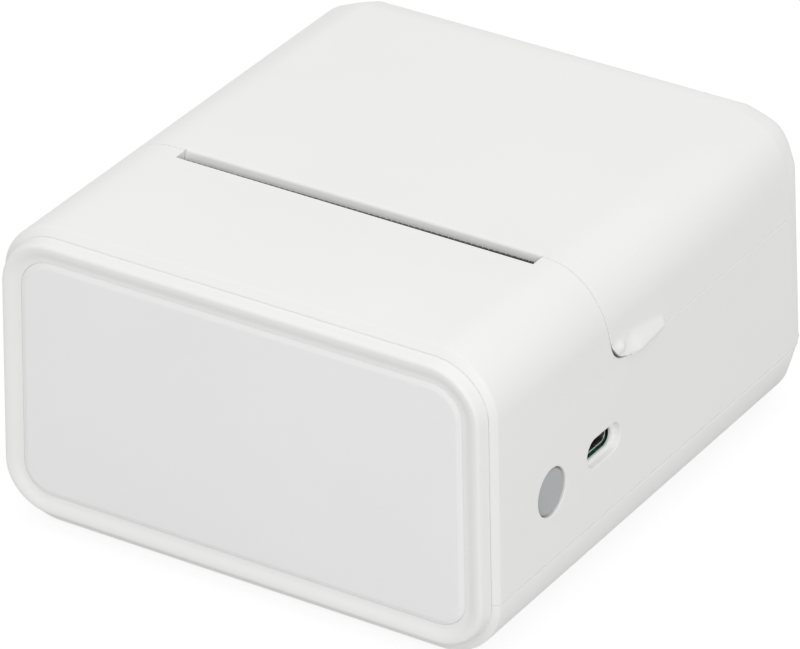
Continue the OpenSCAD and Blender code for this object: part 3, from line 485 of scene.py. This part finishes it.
# rib that carries the tear bar
housing = combined(housing, block(SLOT_LEFT - 1, SLOT_RIGHT + 1, SLOT_FRONT - 2, SLOT_FRONT,
                                  HIGH - WALL - 4.6, HIGH - WALL + 0.2), "UNION")
soften(housing)
rounded(piece(housing, "housing_shell", shell_abs, "base", ("main_housing",)), 0.25)

# ---- bottom cover ----
# The tray under the printer in the same white ABS, butted against the housing along a
# fine seam low on the sides; four screws hold it from below, deep in their counterbores.
cover = body_form()
open_front(cover)
cut(cover, (0, 0, COVER_SEAM), (0, 0, 1))
drop(cover, lambda c: c.z > COVER_SEAM)
cover = thickened(cover, WALL)
for x, y in ((-46, -52.45), (-46, 57.839), (46, -52.45), (46, 57.839)):
    boss = combined(post(x, y, 2.5, COVER_SEAM - 0.3, 3.6), body_form(chamfered=False), "INTERSECT")
    cover = combined(cover, boss, "UNION")
    cover = combined(cover, post(x, y, -2, 6, 3), "DIFFERENCE")
soften(cover)
rounded(piece(cover, "bottom_tray", shell_abs, "base", ("bottom_cover",)), 0.2)

# ---- front bezel ----
# A separate frame in the same ABS round the front panel, clipped into the housing's mouth.
# Its rounded bead stands 3 mm proud of the housing's edge and falls in a soft hollow to the
# panel. The section is given as (inset from the body's outline, distance behind the crest).
BEAD_FOOT = (1.45, 3.7)
BEAD = ((1.49, 3.65), (1.56, 3.4), (1.7, 2.4), (1.86, 1.72), (1.95, 1.4), (2.1, 1.12), (2.3, 0.94),
        (2.5, 0.86), (2.7, 0.84), (3.1, 0.87), (3.5, 0.95), (3.9, 1.09), (4.3, 1.28), (4.7, 1.48),
        (5.1, 1.63), (5.5, 1.73), (5.9, 1.78), (6.15, 1.79))


def outline_face(inset, y):
    """One flat face with the body's front outline, inset, at a distance behind the front."""
    bm = body_form()
    face = front_face(bm)
    bmesh.ops.delete(bm, geom=[f for f in bm.faces if f is not face], context="FACES")
    face = bm.faces[:][0]
    if inset > FRONT_EDGE[-1][0]:
        bmesh.ops.inset_region(bm, faces=[face], thickness=inset - FRONT_EDGE[-1][0],
                               use_even_offset=True, use_boundary=True)
        bmesh.ops.delete(bm, geom=[f for f in bm.faces if f is not face], context="FACES")
    bmesh.ops.translate(bm, vec=(0, FRONT_Y + y - face.calc_center_median().y, 0), verts=bm.verts)
    return bm, face


bezel, face = outline_face(*BEAD_FOOT)
stepped(bezel, face, BEAD, *BEAD_FOOT)
stepped(bezel, face, ((BEAD[-1][0], BEAD_FOOT[1]),), *BEAD[-1])
bmesh.ops.delete(bezel, geom=[face], context="FACES")
rims = [e for e in bezel.edges if e.is_boundary]
bmesh.ops.bridge_loops(bezel, edges=rims)
piece(bezel, "bezel_rim", shell_abs, "base", ("front_bezel",), recalc=True)

# ---- front panel ----
# A flat plate set in the bezel, moulded in the same ABS a shade greyer, with its edge
# chamfered; it is held by ribs behind and stands a little proud of the groove.
panel_abs = moulded_plastic("spark_eroded_pale_grey_abs", "f2f2f2", 0.5, 0.5, 0.004, 0.006)
PANEL_FOOT = (6.19, 3.4)
PANEL_EDGE = ((6.19, 1.86), (6.22, 1.79), (6.5, 1.7), (6.8, 1.56), (7.1, 1.44), (7.3, 1.38),
              (7.45, 1.36), (7.6, 1.35))
panel, face = outline_face(*PANEL_FOOT)
stepped(panel, face, PANEL_EDGE, *PANEL_FOOT)
rim = [e for e in panel.edges if e.is_boundary]
bmesh.ops.contextual_create(panel, geom=rim)
piece(panel, "panel_plate", panel_abs, "base", ("front_panel",), recalc=True)

# ---- lid ----
# The rear lid over the roll bay, white ABS, from the slot to the back and down to the
# side seam. It turns on two pins in its rear barrel; two flared lips at its front corners
# are for the fingers that open it.
lid_line = lid_seam(SEAM_GAP, (5.15, 3.17, 2.95, 5.3, 0.1, 9.6))
lid = body_form()
cut(lid, (0, 0, SEAM_Z + SEAM_GAP), (0, 0, 1))
for y in SEAM_BAND:
    cut(lid, (0, y, 0), (0, 1, 0))
cut_along(lid, lid_line, in_band)
drop(lid, lambda c: c.z < SEAM_Z + SEAM_GAP
     or (c.y < SEAM_BAND[1] and not behind(lid_line, c)))
NOTCH = (23.85, 36.15)  # room for the housing's knuckles
NOTCH_TOP = HINGE_Z + 1.6


def low_rear(c):
    return c.y > 55 and c.z < 60


for x in (*NOTCH, *(-x for x in NOTCH)):
    cut(lid, (x, 0, 0), (1, 0, 0), low_rear)
cut(lid, (0, 0, NOTCH_TOP), (0, 0, 1), low_rear)
drop(lid, lambda c: c.y > 55 and c.z < NOTCH_TOP and NOTCH[0] < abs(c.x) < NOTCH[1])
# the edge over the slot is cut back to where its roll begins
ROLL_R, ROLL_Y = 0.9, -20.6


def over_slot(c):
    return c.z > DECK_Z and in_band(c) and SLOT_LEFT < c.x < SLOT_RIGHT


for x in (SLOT_LEFT, SLOT_RIGHT):
    cut(lid, (x, 0, 0), (1, 0, 0), lambda c: c.z > DECK_Z and in_band(c))
cut(lid, (0, ROLL_Y, 0), (0, 1, 0), over_slot)
drop(lid, lambda c: over_slot(c) and c.y < ROLL_Y)
LIP_OUT, KNOB_OUT = 1.95, 1.1  # how far the swelling and the knob stand out


def smooth_step(a, b, value):
    """Runs smoothly from 0 at a to 1 at b."""
    t = min(1, max(0, (value - a) / (b - a)))
    return t * t * (3 - 2 * t)


def lip_swell(y, z):
    """How far the finger lip stands out of the lid's side: a knob at the seam's corner, then
    a long swelling that is widest near its front and leans back into the side above."""
    swell_front, edge_z = -10.2, SEAM_Z + SEAM_GAP
    for (y0, z0), (y1, z1) in zip(lid_line, lid_line[1:]):
        if y0 <= y <= y1 and y1 > y0:
            edge_z = z0 + (z1 - z0) * (y - y0) / (y1 - y0)
    up = max(0, z - edge_z)
    along = (smooth_step(-14.8, swell_front, y) * (1 - 0.045 * (y - swell_front))
             * (1 - smooth_step(-0.2, 1.2, y)))
    reach = 5.2 - 0.2 * (y - swell_front)
    over = (0.75 + 0.25 * smooth_step(0, 0.9, up)) * (1 - smooth_step(0.6, reach, up))
    knob = math.exp(-((y + 16.3) / 1.6) ** 2 - ((z - 49.0) / 1.25) ** 2)
    return LIP_OUT * along * over + KNOB_OUT * knob


# the finger lips, which swell out of the sides along the seam, on a grid fine enough for them
LIP_FRONT, LIP_REAR = -20, 2
LIP_ROWS, LIP_ROW, LIP_COLUMNS, LIP_COLUMN = 18, 0.42, 49, 0.45
LIP_TOP = SEAM_Z + SEAM_GAP + LIP_ROWS * LIP_ROW


def on_side(c):
    return abs(c.x) > 50 and c.z < 60


def lip_zone(c, margin=0.0):
    return (on_side(c) and LIP_FRONT - margin < c.y < LIP_REAR + margin
            and c.z < LIP_TOP + margin)


for y in (LIP_FRONT, LIP_REAR):
    cut(lid, (0, y, 0), (0, 1, 0), on_side)
cut(lid, (0, 0, LIP_TOP), (0, 0, 1), lambda c: on_side(c) and LIP_FRONT < c.y < LIP_REAR)
for i in range(1, LIP_ROWS):
    cut(lid, (0, 0, SEAM_Z + SEAM_GAP + LIP_ROW * i), (0, 0, 1), lip_zone)
for i in range(1, LIP_COLUMNS):
    cut(lid, (0, LIP_FRONT + LIP_COLUMN * i, 0), (0, 1, 0), lip_zone)
bmesh.ops.remove_doubles(lid, verts=[v for v in lid.verts if lip_zone(v.co, 0.1)], dist=0.07)
for v in lid.verts:
    if lip_zone(v.co):
        v.co.x += math.copysign(lip_swell(v.co.y, v.co.z), v.co.x)
bmesh.ops.triangulate(lid, faces=[f for f in lid.faces if lip_zone(f.calc_center_median())])
lid = thickened(lid, WALL - 0.1)
# the rolled edge over the slot, which turns down by 70 degrees and runs on into it
front = [(ROLL_Y - ROLL_R * math.sin(a), HIGH - ROLL_R + ROLL_R * math.cos(a))
         for a in (math.radians(7 * i) for i in range(11))]
y, z = front[-1]
section = ((ROLL_Y + 0.8, HIGH - 0.05), *front, (y - 1.0, z - 2.75), (y + 1.1, z - 2.75),
           (ROLL_Y + 0.8, HIGH - 1.8))
roll = prism([(SLOT_LEFT + 0.02, y, z) for y, z in section],
             (SLOT_RIGHT - SLOT_LEFT - 0.04, 0, 0))
lid = combined(lid, roll, "UNION")
# the hinge barrel in three lengths, flush with the back and just inside the rear corners
for x0, x1 in ((-60, -NOTCH[1]), (-NOTCH[0], NOTCH[0]), (NOTCH[1], 60)):
    inside = body_form(chamfered=False)
    bmesh.ops.scale(inside, vec=(0.9985, 0.9985, 1), verts=inside.verts)
    barrel = combined(bar(x0, x1, HINGE_Y, HINGE_Z, BARREL_R - 0.05), inside, "INTERSECT")
    lid = combined(lid, barrel, "UNION")
# slivers at the lips' front corners are merged before the edges are rounded
corner = [v for v in lid.verts if on_side(v.co) and LIP_FRONT < v.co.y < -15 and v.co.z < 50]
bmesh.ops.remove_doubles(lid, verts=corner, dist=0.1)
soften(lid)
rounded(piece(lid, "lid_shell", shell_abs, "lid", ("lid",)), 0.1)

# ---- tear bar ----
# A steel strip with low blunt teeth, stamped and dipped in black lacquer, let into the front
# of the slot. The lacquer hides the metal under a dark, soft gloss. Its left end sits a
# little lower, so its line shows black on the right and thin on the left.
lacquer = moulded_plastic("black_lacquered_steel", "151617", 0.35, 0.4, 0.002, 0.05)
TOOTH_PITCH, TOOTH_GAP, TOOTH_H = 1.31, 0.34, 0.4  # the gaps are notches between flat teeth
BAR_LEFT, BAR_RIGHT, BAR_FOOT = SLOT_LEFT + 1.0, SLOT_RIGHT - 0.1, HIGH - 6.8
tops = []
for i in range(int((BAR_RIGHT - BAR_LEFT) / TOOTH_PITCH)):
    x = BAR_RIGHT - i * TOOTH_PITCH
    tip_z = HIGH + 0.1 - 0.45 * (BAR_RIGHT - x) / (BAR_RIGHT - BAR_LEFT)
    tops += [(x, tip_z), (x - TOOTH_PITCH + TOOTH_GAP, tip_z),
             (x - TOOTH_PITCH + 0.7 * TOOTH_GAP, tip_z - TOOTH_H),
             (x - TOOTH_PITCH + 0.3 * TOOTH_GAP, tip_z - TOOTH_H)]
outline = [(BAR_RIGHT, BAR_FOOT), *tops, (BAR_LEFT, tops[-1][1]), (BAR_LEFT, BAR_FOOT)]
teeth = prism([(x, SLOT_FRONT + 0.03, z) for x, z in outline], (0, 0.5, 0))
piece(teeth, "tear_strip", lacquer, "base", ("tear_bar",))

# ---- power button ----
# A round key in grey ABS with a turned edge and a slightly domed face, held behind the
# wall by its flange; it presses a switch on the circuit board. Its finer grain gives it a
# satin sheen beside the matte shells. The section is given as (radius, distance proud).
button_abs = moulded_plastic("satin_grey_abs", "acadae", 0.42, 0.4, 0.002, 0.008)
BUTTON_PROFILE = ((0, 0.0), (2.2, -0.03), (3.6, -0.1), (4.3, -0.18), (4.62, -0.28), (4.86, -0.48),
                  (5.0, -0.8), (5.0, -4.2), (6.4, -4.2), (6.4, -5.5), (0, -5.5))
button = bmesh.new()
face_x = half_width(BUTTON_Z)
ring = [button.verts.new((face_x + x, BUTTON_Y + r, BUTTON_Z)) for r, x in BUTTON_PROFILE]
profile = [button.edges.new(pair) for pair in zip(ring, ring[1:])]
bmesh.ops.spin(button, geom=[*ring, *profile], cent=(face_x, BUTTON_Y, BUTTON_Z), axis=(1, 0, 0),
               angle=2 * math.pi, steps=64, use_merge=True)
bmesh.ops.remove_doubles(button, verts=button.verts, dist=1e-4)
piece(button, "button_key", button_abs, "button", ("power_button",), recalc=True)

# ---- charging port ----
# A drawn steel receptacle shell on the circuit board, with the contact tongue and its
# twelve gold-plated contacts inside it; it stands behind the recess in the housing.


def worked_metal(name, dark, light, roughness, marks, pits_mm=0.0):
    """A bare or plated metal. Marks gives the worked lines per metre along X, Y and Z, and
    pits_mm is how deep its surface is broken up."""
    material = bpy.data.materials.new(name)
    material.use_nodes = True
    tree = material.node_tree
    shader = tree.nodes["Principled BSDF"]
    shader.inputs["Metallic"].default_value = 1.0
    where = node(tree, "ShaderNodeTexCoord").outputs["Object"]
    worked = node(tree, "ShaderNodeMapping", {"Scale": marks}, {"Vector": where})
    streak = node(tree, "ShaderNodeTexNoise", {"Scale": 1.0, "Detail": 3.0},
                  {"Vector": worked.outputs["Vector"]})
    shade = node(tree, "ShaderNodeValToRGB", links={"Fac": streak.outputs["Fac"]})
    shade.color_ramp.elements[0].position = 0.3
    shade.color_ramp.elements[1].position = 0.7
    shade.color_ramp.elements[0].color = linear(dark)
    shade.color_ramp.elements[1].color = linear(light)
    tree.links.new(shade.outputs["Color"], shader.inputs["Base Color"])
    gloss = node(tree, "ShaderNodeMapRange",
                 {"To Min": roughness - 0.08, "To Max": roughness + 0.08},
                 {"Value": streak.outputs["Fac"]})
    tree.links.new(gloss.outputs["Result"], shader.inputs["Roughness"])
    if pits_mm:
        bump = node(tree, "ShaderNodeBump", {"Strength": 1.0, "Distance": pits_mm / 1000},
                    {"Height": streak.outputs["Fac"]})
        tree.links.new(bump.outputs["Normal"], shader.inputs["Normal"])
    return material


# Nickel-plated steel: bright, with the drawing lines of the press along the shell.
nickel = worked_metal("nickel_plated_steel", "b4b3af", "d2d1cd", 0.3, (300, 3000, 3000))
port_x = side_x - 2.4
shell = combined(stadium(8.94, 3.2, PORT_Y, PORT_Z, port_x - 7.4, port_x, 0),
                 stadium(8.34, 2.6, PORT_Y, PORT_Z, port_x - 6.4, port_x + 1, 0), "DIFFERENCE")
soften(shell)
rounded(piece(shell, "port_shell", nickel, "base", ("usb_port",)), 0.08)
# Glass-filled nylon: near black, with the dull sheen that the fibres leave.
black_plastic = moulded_plastic("glass_filled_black_nylon", "26272a", 0.45, 0.4, 0.003, 0.03)
tongue = block(port_x - 6.5, port_x - 0.9, PORT_Y - 3.3, PORT_Y + 3.3, PORT_Z - 0.35, PORT_Z + 0.35,
               0.12)
piece(tongue, "port_tongue", black_plastic, "base")
# Gold flash on copper: warm and bright, with the fine rolling lines of the strip under it.
gilt = worked_metal("gold_plated_contact", "c99f4c", "e2bd6c", 0.25, (400, 5000, 5000))
contacts = bmesh.new()
for i in range(12):
    y = PORT_Y + (i - 5.5) * 0.5
    bmesh.ops.create_cube(contacts, size=1, matrix=Matrix.Translation(
        (port_x - 3.0, y, PORT_Z)) @ Matrix.Diagonal((3.4, 0.26, 0.78, 1)))
piece(contacts, "port_contacts", gilt, "base")

# ---- roll bay ----
# The bay's liner, the hubs that hold the roll and the platen's carrier are moulded in light
# grey ABS with a coarser grain, because nobody sees them with the lid shut. The guides and
# the racks' pinion are acetal.


def finish_node(names, material):
    """Gives CAD nodes their material."""
    for name in names:
        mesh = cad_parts[name].data
        mesh.materials.clear()
        mesh.materials.append(material)


inner_abs = moulded_plastic("light_grey_abs", "c9cbcc", 0.55, 0.6, 0.008, 0.01)
finish_node(("platen_carrier", "bay_liner", "roll_hub_left", "roll_hub_right"), inner_abs)
# Acetal slides on its rails without grease: smooth and slightly waxy.
acetal = moulded_plastic("natural_acetal", "ece9df", 0.38, 0.6, 0.002, 0.01, 1.48)
guide_acetal = moulded_plastic("grey_acetal", "c2c6ca", 0.4, 0.6, 0.003, 0.012, 1.48)
finish_node(("roll_guide_left", "roll_guide_right"), guide_acetal)
finish_node(("guide_pinion", *(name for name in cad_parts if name.startswith("guide_rack"))),
            acetal)

# ---- print mechanism ----
# The frame is pressure die cast zinc, left as it comes from the die; the head's heat sink is
# extruded aluminium, satin anodised, and its lines run along X.
zinc = worked_metal("die_cast_zinc", "85888c", "a2a5a8", 0.5, (700, 700, 700), 0.02)
finish_node(("mechanism_frame",), zinc)
satin_aluminium = worked_metal("satin_anodised_aluminium", "b1b4b7", "cfd1d3", 0.4,
                               (120, 2600, 2600), 0.003)
finish_node(("head_heatsink",), satin_aluminium)
# Glazed alumina: hard and glossy, faintly speckled by the grains that were fired together.
alumina = moulded_plastic("glazed_alumina", "e3ded1", 0.18, 0.35, 0.0006, 0.03, 1.6)
finish_node(("print_head",), alumina)
# Zinc-plated steel sheet, drawn into the motor's can: dull, with the spangle of the plating.
zinc_plate = worked_metal("zinc_plated_steel", "9fa3a7", "c0c4c8", 0.38, (350, 350, 350), 0.001)
finish_node(("stepper_motor",), zinc_plate)
# Turned brass: warm, with tool lines round the shaft's axis.
brass = worked_metal("turned_brass", "a98442", "cfac62", 0.32, (4500, 300, 300), 0.001)
finish_node(("motor_pinion", "platen_bushes"), brass)
finish_node(("platen_shaft", "hinge_pins", "head_rod", "head_springs", "latch_leaves",
             "gear_studs", "cover_screws", "carrier_screws"), nickel)
finish_node(("platen_gear", "reduction_gear", "idler_gear"), acetal)
finish_node(("paper_sensor", "button_switch"), black_plastic)
# Moulded rubber: dull, dark and slightly rough, as a ground roller and its feet are.
rubber = moulded_plastic("moulded_rubber", "2c2d2f", 0.75, 0.8, 0.02, 0.05, 1.52)
finish_node(("rubber_feet", "platen_roller"), rubber)

# ---- circuit board ----
# A glass-epoxy board under a green solder mask, through which the copper tracks show paler.
board = bpy.data.materials.new("green_solder_mask")
board.use_nodes = True
tree = board.node_tree
shader = tree.nodes["Principled BSDF"]
shader.inputs["Roughness"].default_value = 0.3
shader.inputs["IOR"].default_value = 1.55
where = node(tree, "ShaderNodeTexCoord").outputs["Object"]
tracks = node(tree, "ShaderNodeTexBrick", {
    "Color1": linear("18523a"), "Color2": linear("1b5a3f"), "Mortar": linear("2f8158"),
    "Scale": 1000 / 6.0, "Mortar Size": 0.035, "Brick Width": 1.4, "Row Height": 0.32,
}, {"Vector": where}, offset=0.37)
tree.links.new(tracks.outputs["Color"], shader.inputs["Base Color"])
raised = node(tree, "ShaderNodeBump", {"Strength": 1.0, "Distance": 0.00003},
              {"Height": tracks.outputs["Fac"]})
tree.links.new(raised.outputs["Normal"], shader.inputs["Normal"])
finish_node(("main_board",), board)
finish_node(("board_parts",), black_plastic)

# ---- battery ----
# A flat lithium cell in a blue shrink sleeve: glossy film, drawn into shallow wrinkles
# about 4 mm across.
sleeve = moulded_plastic("shrink_sleeve", "3f6fae", 0.22, 4.0, 0.15, 0.03, 1.5)
finish_node(("battery_pack",), sleeve)

# ---- floor and light ----
# A plain pale floor, white to the camera but for the printer's own soft shadow, under an
# even sky with a broad lamp overhead and another at the front right.
def seen_directly(tree):
    """A shader value that is 1 for what the camera or a reflection sees, and 0 for its light."""
    path = node(tree, "ShaderNodeLightPath")
    seen = node(tree, "ShaderNodeMath", operation="MAXIMUM")
    tree.links.new(path.outputs["Is Camera Ray"], seen.inputs[0])
    tree.links.new(path.outputs["Is Glossy Ray"], seen.inputs[1])
    return seen.outputs[0]


def mixed(tree, share, plain, seen):
    """The mix of two shaders by a share."""
    mix = node(tree, "ShaderNodeMixShader", links={"Fac": share})
    tree.links.new(plain, mix.inputs[1])
    tree.links.new(seen, mix.inputs[2])
    return mix.outputs[0]


floor_mesh = bmesh.new()
bmesh.ops.create_grid(floor_mesh, x_segments=1, y_segments=1, size=6000)
floor = bpy.data.objects.new("floor", bpy.data.meshes.new("floor"))
scaled(floor_mesh).to_mesh(floor.data)
floor_mesh.free()
bpy.context.collection.objects.link(floor)
paper = bpy.data.materials.new("matt_backdrop_paper")
paper.use_nodes = True
tree = paper.node_tree
shader = tree.nodes["Principled BSDF"]
shader.inputs["Base Color"].default_value = linear("c4c4c4")
shader.inputs["Roughness"].default_value = 0.9
share = node(tree, "ShaderNodeMath", links={0: seen_directly(tree)}, operation="MULTIPLY")
share.inputs[1].default_value = 0.65
glow = node(tree, "ShaderNodeEmission", {"Color": (1, 1, 1, 1), "Strength": 1.3})
tree.links.new(mixed(tree, share.outputs[0], shader.outputs[0], glow.outputs[0]),
               tree.nodes["Material Output"].inputs["Surface"])
floor.data.materials.append(paper)

world = bpy.data.worlds.new("studio")
bpy.context.scene.world = world
world.use_nodes = True
tree = world.node_tree
tree.nodes.clear()
sky = node(tree, "ShaderNodeBackground", {"Color": (1, 1, 1, 1), "Strength": 0.735})
white = node(tree, "ShaderNodeBackground", {"Color": (1, 1, 1, 1), "Strength": 1.0})
tree.links.new(mixed(tree, seen_directly(tree), sky.outputs[0], white.outputs[0]),
               node(tree, "ShaderNodeOutputWorld").inputs["Surface"])


def soft_lamp(name, place, size, power):
    """A square soft lamp, aimed at the printer."""
    lamp = bpy.data.lights.new(name, "AREA")
    lamp.size = size
    lamp.energy = power
    obj = bpy.data.objects.new(name, lamp)
    bpy.context.collection.objects.link(obj)
    aim = Vector((0, 0, 0.03)) - Vector(place)
    obj.matrix_world = Matrix.Translation(place) @ aim.to_track_quat("-Z", "Y").to_matrix().to_4x4()


soft_lamp("overhead", (0, 0.3, 1.6), 1.4, 3.2)
soft_lamp("front_right", (1.72, -2.2, 1.4), 1.2, 26)

bpy.context.scene.view_settings.view_transform = "Standard"
